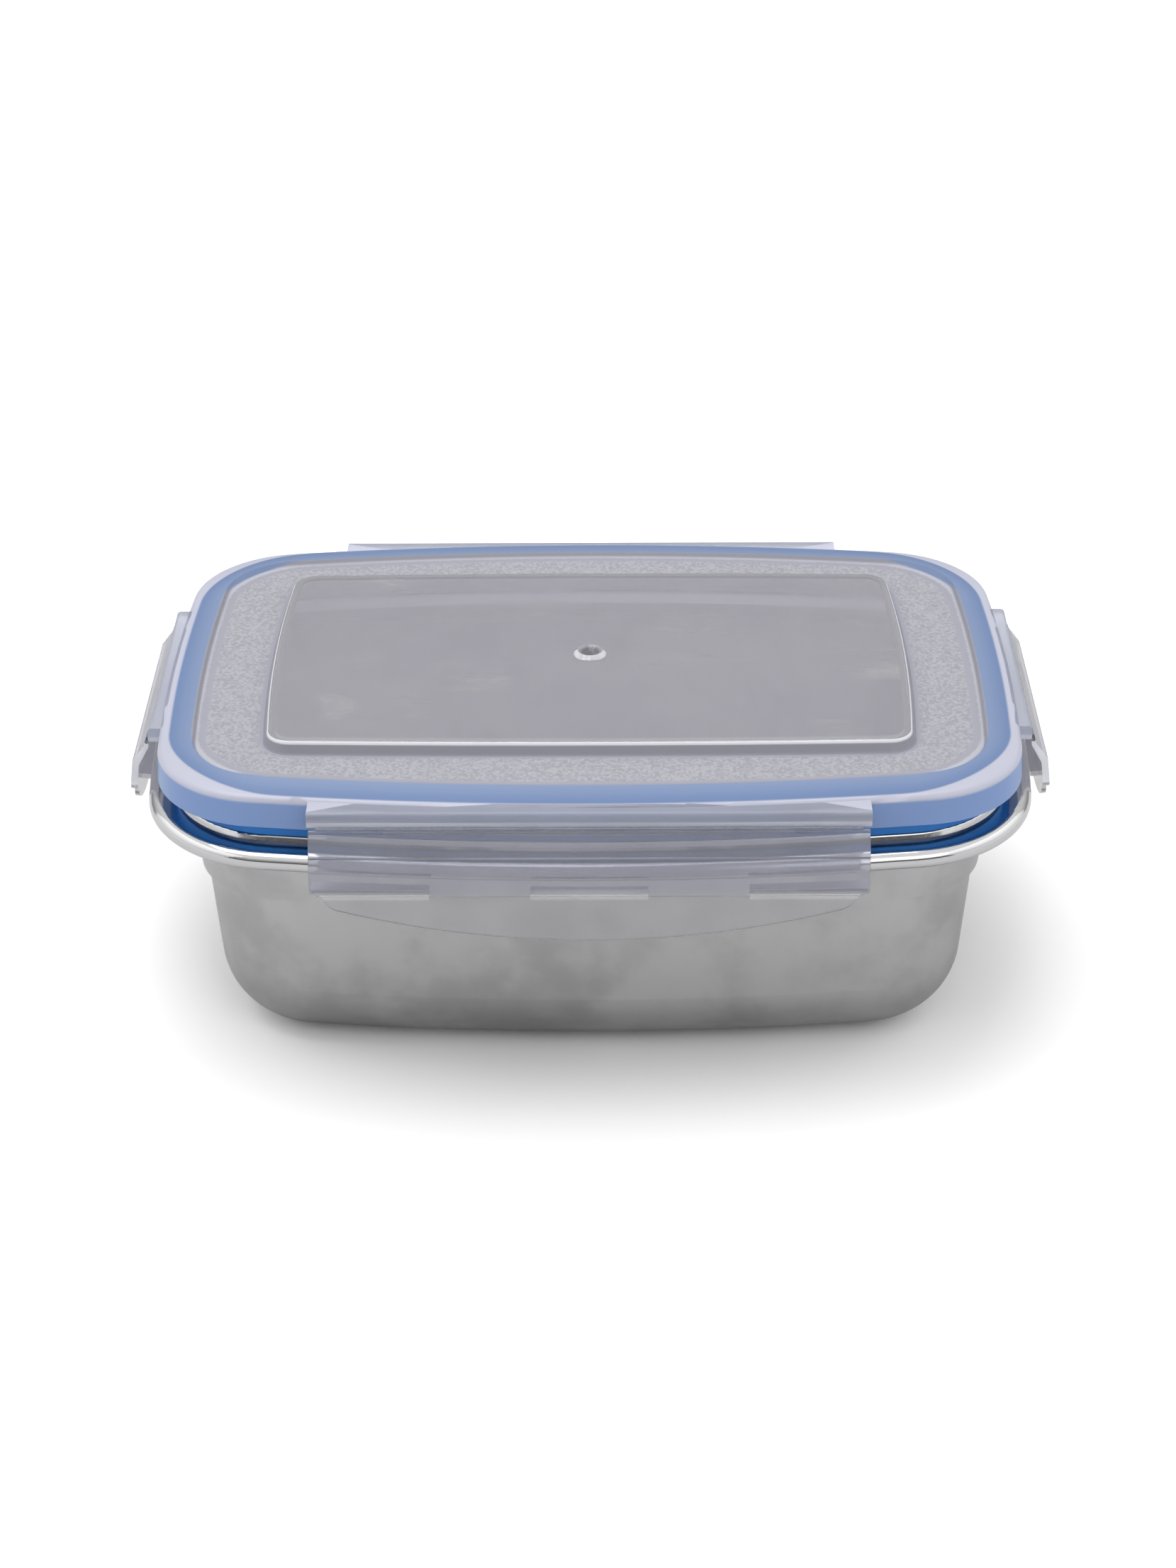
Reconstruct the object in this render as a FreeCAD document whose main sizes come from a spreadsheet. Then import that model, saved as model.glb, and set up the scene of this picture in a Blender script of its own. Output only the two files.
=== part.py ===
# Lunch box: a deep-drawn steel tray closed by a translucent lid with a rubber gasket and four swinging latches.
# Millimetres, +Z up, +X along the long side, origin at the centre of the tray's underside.
import FreeCAD, Part
import math
import os
import Sketcher
from FreeCAD import Placement, Rotation, Vector

SIZES = {
    # plan of the seal line, set out from the tray's body, which the rim, the gasket and the lid's channel follow
    "seal_overhang_x": 6.2,
    "seal_overhang_y": 6.3,
    "seal_corner_radius": 25.6,
    "seal_side_bow": 360.0,
    "seal_front_bow": 530.0,
    # the lid's own outline has the same middles and fuller corners
    "lid_corner_radius": 22.5,
    "lid_side_bow": 560.0,
    "lid_front_bow": 560.0,
    # plan of the tray's body at its stacking step, outside of the sheet
    "body_half_width": 85.8,
    "body_half_depth": 55.4,
    "body_corner_radius": 24.2,
    "body_side_bow": 351.2,
    "body_front_bow": 521.2,
    # plan of the lid's raised panel, at its foot
    "panel_half_width": 71.5,
    "panel_half_depth": 42.3,
    "panel_corner_radius": 6.2,
    "panel_side_bow": 460.0,
    "panel_front_bow": 2400.0,
    # tray
    "sheet": 0.6,
    "flange_height": 58.7,
    "rim_outset": 5.3,
    "curl_radius": 2.2,
    "bead_rise": 1.4,
    "bead_edge_inset": 1.0,
    "bead_flare": 0.4,
    "bead_round": 0.7,
    "mouth_inset": 4.4,
    "collar_draft": 1.6,
    "neck_depth": 1.7,
    "step_height": 42.0,
    "body_draft": 3.7,
    "base_radius": 18.0,
    "base_margin": 21.7,
    # gasket
    "seal_gap": 0.2,
    "gasket_show": 3.6,
    "gasket_lip_inset": 0.8,
    "gasket_lip_width": 3.6,
    "gasket_fit": 0.1,
    # lid
    "skirt_height": 7.1,
    "skirt_outset": 2.2,
    "skirt_draft": 0.35,
    "skirt_wall": 1.5,
    "skirt_round": 1.3,
    "ring_crown": 1.0,
    "ring_slope": 1.3,
    "ring_step": 0.8,
    "channel_width": 5.7,
    "channel_roof": 1.4,
    "inner_wall": 1.4,
    "inner_wall_drop": 2.5,
    "deck_thickness": 1.6,
    "panel_rise": 2.8,
    "panel_run": 1.2,
    "panel_round": 0.6,
    "gate_radius": 3.7,
    "gate_height": 0.9,
    # latches and their film hinges
    "hinge_inset": 1.0,
    "hinge_drop": 4.1,
    "film_radius": 0.45,
    "hinge_play": 0.05,
    "land_setback": 0.4,
    "land_rise": 0.3,
    "land_top_drop": 0.6,
    "land_round": 1.0,
    "land_overhang": 0.4,
    "notch": 1.5,
    "long_latch_length": 116.4,
    "short_latch_length": 56.0,
    "latch_wall": 1.5,
    "latch_neck": 0.9,
    "latch_shoulder": 6.0,
    "latch_clearance": 0.35,
    "hook_engagement": 1.1,
    "hook_gap": 0.2,
    "hook_height": 1.2,
    "long_hook_length": 24.5,
    "long_hook_pitch": 45.6,
    "long_corner_round": 1.5,
    "long_tab_inset": 1.9,
    "short_hook_length": 15.0,
    "short_hook_pitch": 24.0,
    "short_corner_round": 5.0,
    "short_tab_inset": 4.0,
    "tab_thickness": 1.0,
    "tab_drop": 10.3,
    "tab_side_drop": 3.0,
    "tab_side_run": 2.2,
    "tab_round": 5.0,
    "latch_rest_angle": 7.0,
}
BURY = 0.3  # how far a rib or a block reaches into the wall that carries it


class Size:
    """A length that knows both its value and the sheet formula behind it."""

    def __init__(self, value, text):
        self.value = float(value)
        self.text = text

    def __add__(self, other):
        other = as_size(other)
        return Size(self.value + other.value, f"({self.text} + {other.text})")

    def __sub__(self, other):
        other = as_size(other)
        return Size(self.value - other.value, f"({self.text} - {other.text})")

    def __mul__(self, other):
        other = as_size(other)
        return Size(self.value * other.value, f"({self.text} * {other.text})")

    def __truediv__(self, other):
        other = as_size(other)
        return Size(self.value / other.value, f"({self.text} / {other.text})")

    def __neg__(self):
        return Size(-self.value, f"(0 - {self.text})")


def as_size(number):
    return number if isinstance(number, Size) else Size(number, f"{number:.4f}")


def size(alias):
    return Size(SIZES[alias], "Sizes." + alias)


doc = FreeCAD.newDocument("LunchBox")
sheet = doc.addObject("Spreadsheet::Sheet", "Sizes")
for row, (alias, value) in enumerate(SIZES.items(), start=1):
    sheet.set(f"A{row}", alias)
    sheet.set(f"B{row}", str(value))
    sheet.setAlias(f"B{row}", alias)
doc.recompute()


# Sketch helpers

def new_body(label):
    body = doc.addObject("PartDesign::Body", label)
    body.Label = label
    return body


def new_sketch(body, name, role, level=None):
    """A sketch on one of the body's own origin planes, moved along its normal by level."""
    sketch = body.newObject("Sketcher::SketchObject", name)
    plane = next(item for item in body.Origin.OriginFeatures if item.Role == role)
    sketch.AttachmentSupport = [(plane, "")]
    sketch.MapMode = "FlatFace"
    if level is not None:
        sketch.AttachmentOffset = Placement(Vector(0, 0, level.value), Rotation())
        sketch.setExpression("AttachmentOffset.Base.z", level.text)
    return sketch


def bind(sketch, length, kind, *where):
    """Add a driving constraint and tie it to its sheet formula."""
    index = sketch.addConstraint(Sketcher.Constraint(kind, *where, length.value))
    sketch.setExpression(f"Constraints[{index}]", length.text)


def fix_point(sketch, geo, pos, x, y):
    bind(sketch, as_size(x), "DistanceX", -1, 1, geo, pos)
    bind(sketch, as_size(y), "DistanceY", -1, 1, geo, pos)


def arc(centre, radius, start, end):
    return Part.ArcOfCircle(Part.Circle(Vector(*centre, 0), Vector(0, 0, 1), radius), start, end)


def corner_centre(half_w, half_d, corner, side_bow, front_bow):
    """Centre of the corner arc that touches a side arc and a front arc from inside."""
    side_x, front_y = half_w - side_bow, half_d - front_bow
    to_side, to_front = side_bow - corner, front_bow - corner
    gap = math.hypot(side_x, front_y)
    along = (to_side ** 2 - to_front ** 2 + gap ** 2) / (2 * gap)
    across = math.sqrt(to_side ** 2 - along ** 2)
    unit_x, unit_y = -side_x / gap, front_y / gap
    return side_x + unit_x * along - unit_y * across, unit_y * along + unit_x * across


def add_outline(sketch, plan, outset=0.0):
    """Four bowed sides and four round corners, all tangent, set outside a plan by outset."""
    on_seal = plan in ("seal", "lid")
    base = {
        "half_width": seal_x if on_seal else size(f"{plan}_half_width"),
        "half_depth": seal_y if on_seal else size(f"{plan}_half_depth"),
    }
    for key in ("corner_radius", "side_bow", "front_bow"):
        base[key] = size(f"{plan}_{key}")
    grown = {key: length + outset for key, length in base.items()}
    half_w, half_d, corner, side, front = (grown[key].value for key in base)
    cx, cy = corner_centre(half_w, half_d, corner, side, front)
    side_x, front_y = half_w - side, half_d - front
    low = math.atan2(cy, cx - side_x)
    high = math.atan2(cy - front_y, cx)
    half_turn, turn = math.pi, 2 * math.pi
    arcs = [
        arc((side_x, 0), side, 0, low),
        arc((cx, cy), corner, low, high),
        arc((0, front_y), front, high, half_turn - high),
        arc((-cx, cy), corner, half_turn - high, half_turn - low),
        arc((-side_x, 0), side, half_turn - low, half_turn + low),
        arc((-cx, -cy), corner, half_turn + low, half_turn + high),
        arc((0, -front_y), front, half_turn + high, turn - high),
        arc((cx, -cy), corner, turn - high, turn - low),
        arc((side_x, 0), side, turn - low, turn),
    ]
    first = sketch.GeometryCount
    right, back, left, fore, last = first, first + 2, first + 4, first + 6, first + 8
    for piece in arcs:
        sketch.addGeometry(piece, False)
    for index in range(first, last):
        sketch.addConstraint(Sketcher.Constraint("Tangent", index, 2, index + 1, 1))
    sketch.addConstraint(Sketcher.Constraint("Coincident", last, 2, right, 1))
    sketch.addConstraint(Sketcher.Constraint("Coincident", last, 3, right, 3))
    sketch.addConstraint(Sketcher.Constraint("PointOnObject", right, 1, -1))
    for index, axis in ((right, -1), (left, -1), (back, -2), (fore, -2)):
        sketch.addConstraint(Sketcher.Constraint("PointOnObject", index, 3, axis))
    for index in (right, left):
        bind(sketch, grown["side_bow"], "Radius", index)
    for index in (back, fore):
        bind(sketch, grown["front_bow"], "Radius", index)
    for index in range(first + 1, last, 2):
        bind(sketch, grown["corner_radius"], "Radius", index)
    across = base["side_bow"] - base["half_width"]
    along = base["front_bow"] - base["half_depth"]
    bind(sketch, across, "DistanceX", right, 3, -1, 1)
    bind(sketch, across, "DistanceX", -1, 1, left, 3)
    bind(sketch, along, "DistanceY", back, 3, -1, 1)
    bind(sketch, along, "DistanceY", -1, 1, fore, 3)


def round_ends(before, point, after, radius):
    """Where a round of this radius leaves the two sides of a corner, and its centre."""
    to_before = (before - point).normalize()
    to_after = (after - point).normalize()
    half = to_before.getAngle(to_after) / 2
    reach = radius / math.tan(half)
    middle = (to_before + to_after).normalize()
    return point + to_before * reach, point + to_after * reach, point + middle * (radius / math.sin(half))


def add_profile(sketch, corners):
    """Closed outline through corners (x, y) or (x, y, round), each corner set by its own two sizes."""
    points = [Vector(as_size(c[0]).value, as_size(c[1]).value, 0) for c in corners]
    rounds = [c[2] if len(c) > 2 else None for c in corners]
    count = len(points)
    starts, ends, centres = list(points), list(points), [None] * count
    for i, radius in enumerate(rounds):
        if radius:
            ends[i], starts[i], centres[i] = round_ends(
                points[i - 1], points[i], points[(i + 1) % count], radius.value)
    sides = [sketch.addGeometry(Part.LineSegment(starts[i], ends[(i + 1) % count]), False) for i in range(count)]
    for i, radius in enumerate(rounds):
        arriving, leaving = sides[i - 1], sides[i]
        if not radius:
            sketch.addConstraint(Sketcher.Constraint("Coincident", arriving, 2, leaving, 1))
            fix_point(sketch, leaving, 1, corners[i][0], corners[i][1])
            continue
        marker = sketch.addGeometry(Part.Point(points[i]), True)
        fix_point(sketch, marker, 1, corners[i][0], corners[i][1])
        sketch.addConstraint(Sketcher.Constraint("PointOnObject", marker, 1, arriving))
        sketch.addConstraint(Sketcher.Constraint("PointOnObject", marker, 1, leaving))
        from_centre, to_centre = ends[i] - centres[i], starts[i] - centres[i]
        begin = math.atan2(from_centre.y, from_centre.x)
        finish = math.atan2(to_centre.y, to_centre.x)
        turns_left = (from_centre.cross(to_centre)).z > 0
        low, high = (begin, finish) if turns_left else (finish, begin)
        if high < low:
            high += 2 * math.pi
        bend = sketch.addGeometry(arc((centres[i].x, centres[i].y), radius.value, low, high), False)
        first, second = (1, 2) if turns_left else (2, 1)
        sketch.addConstraint(Sketcher.Constraint("Tangent", arriving, 2, bend, first))
        sketch.addConstraint(Sketcher.Constraint("Tangent", bend, second, leaving, 1))
        bind(sketch, radius, "Radius", bend)


def add_rectangle(sketch, x_low, x_high, y_low, y_high):
    add_profile(sketch, [(x_low, y_low), (x_high, y_low), (x_high, y_high), (x_low, y_high)])


# Feature helpers

def pad(body, name, sketch, length, symmetric=False, reverse=False):
    feature = body.newObject("PartDesign::Pad", name)
    feature.Profile = sketch
    feature.SideType = "Symmetric" if symmetric else "One side"
    feature.Reversed = reverse
    feature.Length = length.value
    feature.setExpression("Length", length.text)
    return feature


def sweep(body, name, profile, spine, kind="AdditivePipe"):
    """Carry a profile round a closed outline."""
    feature = body.newObject("PartDesign::" + kind, name)
    feature.Profile = profile
    feature.Spine = (spine, [f"Edge{i + 1}" for i in range(spine.GeometryCount)])
    feature.Mode = "Standard"
    feature.Transition = "Transformed"
    return feature


def round_edges(body, name, base, radius, wanted):
    """Fillet the edges of a finished feature that a test on their middle point picks."""
    doc.recompute()
    names = [f"Edge{i}" for i, edge in enumerate(base.Shape.Edges, start=1)
             if wanted(edge, edge.valueAt((edge.FirstParameter + edge.LastParameter) / 2))]
    feature = body.newObject("PartDesign::Fillet", name)
    feature.Base = (base, names)
    feature.Radius = radius.value
    feature.setExpression("Radius", radius.text)
    return feature


def near(a, b):
    return abs(a - b) < 1e-4


# Heights and places that several pieces share

body_x = size("body_half_width")
seal_x = body_x + size("seal_overhang_x")
seal_y = size("body_half_depth") + size("seal_overhang_y")
panel_x = size("panel_half_width")
sheet_t = size("sheet")
flange_z = size("flange_height")
curl = size("curl_radius")
curl_z = flange_z - curl
curl_out = size("rim_outset") - curl
bead_z = flange_z + size("bead_rise")
gasket_z = bead_z + size("seal_gap")
skirt_z = gasket_z + size("gasket_show")
deck_z = skirt_z + size("skirt_height")
deck_under_z = deck_z - size("deck_thickness")
roof_z = deck_z - size("channel_roof")
channel_outer = size("skirt_outset") - size("skirt_wall")
channel_inner = channel_outer - size("channel_width")
axis_out = size("rim_outset") - size("hinge_inset")
axis_z = deck_z - size("hinge_drop")

LATCHES = {
    # side: turn about Z, which of the two lengths, hooks, half of the plan across it, bow of the rim it catches
    "front": (0, "long", 3, seal_y, "seal_front_bow"),
    "back": (180, "long", 3, seal_y, "seal_front_bow"),
    "left": (-90, "short", 2, seal_x, "seal_side_bow"),
    "right": (90, "short", 2, seal_x, "seal_side_bow"),
}


def make_tray():
    """Sheet-steel tray: curl, flange and bead on the seal line, then a collar, a step and the body."""
    body = new_body("steel_tray")
    seal_line = new_sketch(body, "SealLine", "XY_Plane")
    add_outline(seal_line, "seal")
    body_line = new_sketch(body, "BodyLine", "XY_Plane")
    add_outline(body_line, "body")

    curl_x = seal_x + curl_out
    hoop = new_sketch(body, "CurlProfile", "XZ_Plane")
    centre = (curl_x.value, curl_z.value)
    inner_radius = curl - sheet_t
    outer_arc = hoop.addGeometry(arc(centre, curl.value, math.pi, 2.5 * math.pi), False)
    inner_arc = hoop.addGeometry(arc(centre, inner_radius.value, math.pi, 2.5 * math.pi), False)
    top = hoop.addGeometry(Part.LineSegment(outer_end := Vector(centre[0], centre[1] + curl.value, 0),
                                            outer_end - Vector(0, sheet_t.value, 0)), False)
    tip = hoop.addGeometry(Part.LineSegment(tip_end := Vector(centre[0] - curl.value, centre[1], 0),
                                            tip_end + Vector(sheet_t.value, 0, 0)), False)
    for where in ((outer_arc, 2, top, 1), (top, 2, inner_arc, 2), (outer_arc, 1, tip, 1), (tip, 2, inner_arc, 1),
                  (outer_arc, 3, inner_arc, 3)):
        hoop.addConstraint(Sketcher.Constraint("Coincident", *where))
    hoop.addConstraint(Sketcher.Constraint("Vertical", top))
    hoop.addConstraint(Sketcher.Constraint("Horizontal", tip))
    hoop.addConstraint(Sketcher.Constraint("Vertical", outer_arc, 3, outer_arc, 2))
    hoop.addConstraint(Sketcher.Constraint("Horizontal", outer_arc, 3, outer_arc, 1))
    bind(hoop, curl, "Radius", outer_arc)
    bind(hoop, inner_radius, "Radius", inner_arc)
    fix_point(hoop, outer_arc, 3, curl_x, curl_z)
    sweep(body, "Curl", hoop, seal_line)

    mouth = seal_x - size("mouth_inset")
    collar_foot = mouth - size("collar_draft")
    neck_z = flange_z - size("neck_depth")
    step_under = size("step_height") - sheet_t
    bead_edge = seal_x - size("bead_edge_inset")
    bead_foot = bead_edge + size("bead_flare")
    bead_under = bead_z - sheet_t
    flange_under = flange_z - sheet_t
    rim = new_sketch(body, "RimProfile", "XZ_Plane")
    add_profile(rim, [
        (collar_foot, step_under),
        (mouth, neck_z),
        (mouth, bead_z, size("bead_round")),
        (bead_edge, bead_z, size("bead_round")),
        (bead_foot, flange_z),
        (curl_x, flange_z),
        (curl_x, flange_under),
        (bead_foot - sheet_t, flange_under),
        (bead_edge - sheet_t, bead_under),
        (mouth + sheet_t, bead_under),
        (mouth + sheet_t, neck_z),
        (collar_foot + sheet_t, step_under),
    ])
    sweep(body, "Rim", rim, seal_line)

    step = new_sketch(body, "StepPlan", "XY_Plane", step_under)
    add_outline(step, "seal", sheet_t - size("mouth_inset") - size("collar_draft"))
    add_outline(step, "body", -sheet_t)
    pad(body, "Step", step, sheet_t)

    foot = body_x - size("body_draft")
    margin = body_x - size("base_margin")
    wall = new_sketch(body, "WallProfile", "XZ_Plane")
    add_profile(wall, [
        (body_x, size("step_height")),
        (foot, 0.0, size("base_radius")),
        (margin, 0.0),
        (margin, sheet_t),
        (foot - sheet_t, sheet_t, size("base_radius") - sheet_t),
        (body_x - sheet_t, size("step_height")),
    ])
    sweep(body, "Wall", wall, body_line)

    base = new_sketch(body, "BasePlan", "XY_Plane")
    add_outline(base, "body", as_size(BURY) - size("base_margin"))
    body.Tip = pad(body, "Base", base, sheet_t)
    return body


def make_gasket():
    """Silicone ring: a head held in the lid's channel and a lip that presses on the tray's bead."""
    body = new_body("gasket")
    spine = new_sketch(body, "SealLine", "XY_Plane")
    add_outline(spine, "seal")
    fit = size("gasket_fit")
    head_outer = seal_x + channel_outer - fit
    head_inner = seal_x + channel_inner + fit
    lip_outer = seal_x - size("gasket_lip_inset")
    lip_inner = lip_outer - size("gasket_lip_width")
    profile = new_sketch(body, "Profile", "XZ_Plane")
    add_profile(profile, [
        (lip_inner, gasket_z),
        (lip_outer, gasket_z),
        (lip_outer, skirt_z),
        (head_outer, skirt_z + fit),
        (head_outer, roof_z - fit),
        (head_inner, roof_z - fit),
        (head_inner, skirt_z + fit),
        (lip_inner, skirt_z),
    ])
    body.Tip = sweep(body, "Ring", profile, spine)
    return body


def make_lid():
    """Moulded lid: skirt and channel on the seal line, deck, raised panel, hinge lands and gate mark."""
    body = new_body("lid")
    seal_line = new_sketch(body, "SealLine", "XY_Plane")
    add_outline(seal_line, "seal")
    panel_line = new_sketch(body, "PanelLine", "XY_Plane")
    add_outline(panel_line, "panel")

    lid_line = new_sketch(body, "LidLine", "XY_Plane")
    add_outline(lid_line, "lid")
    skirt_foot = seal_x + size("skirt_outset")
    skirt_head = skirt_foot - size("skirt_draft")
    crown_z = deck_z + size("ring_crown")
    wall_face = seal_x + channel_inner
    wall_back = wall_face - size("inner_wall")
    wall_foot = skirt_z - size("inner_wall_drop")
    deck_edge = wall_back - size("deck_thickness")
    ring = new_sketch(body, "RingProfile", "XZ_Plane")
    add_profile(ring, [
        (deck_edge, deck_z),
        (wall_back, deck_z),
        (wall_back + size("ring_step"), crown_z),
        (skirt_head, crown_z - size("ring_slope"), size("skirt_round")),
        (skirt_foot, skirt_z),
        (seal_x, skirt_z),
        (seal_x, deck_under_z),
        (deck_edge, deck_under_z),
    ])
    sweep(body, "Ring", ring, lid_line)
    wall = new_sketch(body, "InnerWallProfile", "XZ_Plane")
    add_rectangle(wall, wall_back, seal_x + channel_outer, wall_foot, deck_z - size("deck_thickness") / 2)
    sweep(body, "InnerWall", wall, seal_line)

    panel_top = deck_z + size("panel_rise")
    panel_under = panel_top - size("deck_thickness")
    shoulder = panel_x - size("panel_run")
    inner_foot = panel_x - size("deck_thickness")
    inner_head = shoulder - size("deck_thickness")
    rim = inner_head - size("deck_thickness")
    deck = new_sketch(body, "DeckPlan", "XY_Plane", deck_under_z)
    add_outline(deck, "lid", channel_inner - size("inner_wall") - BURY)
    add_outline(deck, "panel", BURY)
    pad(body, "Deck", deck, size("deck_thickness"))

    raised = new_sketch(body, "PanelProfile", "XZ_Plane")
    add_profile(raised, [
        (panel_x + size("deck_thickness"), deck_under_z),
        (panel_x + size("deck_thickness"), deck_z),
        (panel_x, deck_z),
        (shoulder, panel_top, size("panel_round")),
        (rim, panel_top),
        (rim, panel_under),
        (inner_head, panel_under),
        (inner_foot, deck_under_z),
    ])
    sweep(body, "PanelWall", raised, panel_line)
    plate = new_sketch(body, "PanelPlan", "XY_Plane", panel_under)
    add_outline(plate, "panel", as_size(BURY) - size("panel_run") - size("deck_thickness") - size("deck_thickness"))
    pad(body, "Panel", plate, size("deck_thickness"))

    land_z = axis_z + size("land_rise")
    land_height = deck_z - size("land_top_drop") - land_z
    lands = new_sketch(body, "LandPlan", "XY_Plane", land_z)
    outer = axis_out - size("land_setback")
    inner = channel_inner
    long_half = size("long_latch_length") / 2 + size("land_overhang")
    short_half = size("short_latch_length") / 2 + size("land_overhang")
    add_rectangle(lands, -long_half, long_half, -(seal_y + outer), -(seal_y + inner))
    add_rectangle(lands, -long_half, long_half, seal_y + inner, seal_y + outer)
    add_rectangle(lands, -(seal_x + outer), -(seal_x + inner), -short_half, short_half)
    add_rectangle(lands, seal_x + inner, seal_x + outer, -short_half, short_half)
    blocks = pad(body, "Lands", lands, land_height)

    face_y = (seal_y + outer).value
    face_x = (seal_x + outer).value
    top_z = (land_z + land_height).value
    rounded = round_edges(body, "LandRounds", blocks, size("land_round"), lambda edge, middle: near(middle.z, top_z)
                          and (near(abs(middle.y), face_y) or near(abs(middle.x), face_x)))

    channel = new_sketch(body, "ChannelProfile", "XZ_Plane")
    add_rectangle(channel, wall_face, seal_x + channel_outer, wall_foot, roof_z)
    hollow = sweep(body, "Channel", channel, seal_line, "SubtractivePipe")

    gate = body.newObject("PartDesign::AdditiveCone", "Gate")
    gate_top = size("gate_radius") - size("gate_height")
    dimple = body.newObject("PartDesign::SubtractiveCone", "GateDimple")
    for cone, foot, head, level in (
            (gate, size("gate_radius"), gate_top, panel_top),
            (dimple, gate_top / 2, gate_top - size("gate_height") / 4, panel_top)):
        for name, length in (("Radius1", foot), ("Radius2", head), ("Height", size("gate_height")),
                             ("AttachmentOffset.Base.z", level)):
            cone.setExpression(name, length.text)
        plane = next(item for item in body.Origin.OriginFeatures if item.Role == "XY_Plane")
        cone.AttachmentSupport = [(plane, "")]
        cone.MapMode = "FlatFace"
    body.Tip = dimple
    return body


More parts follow.
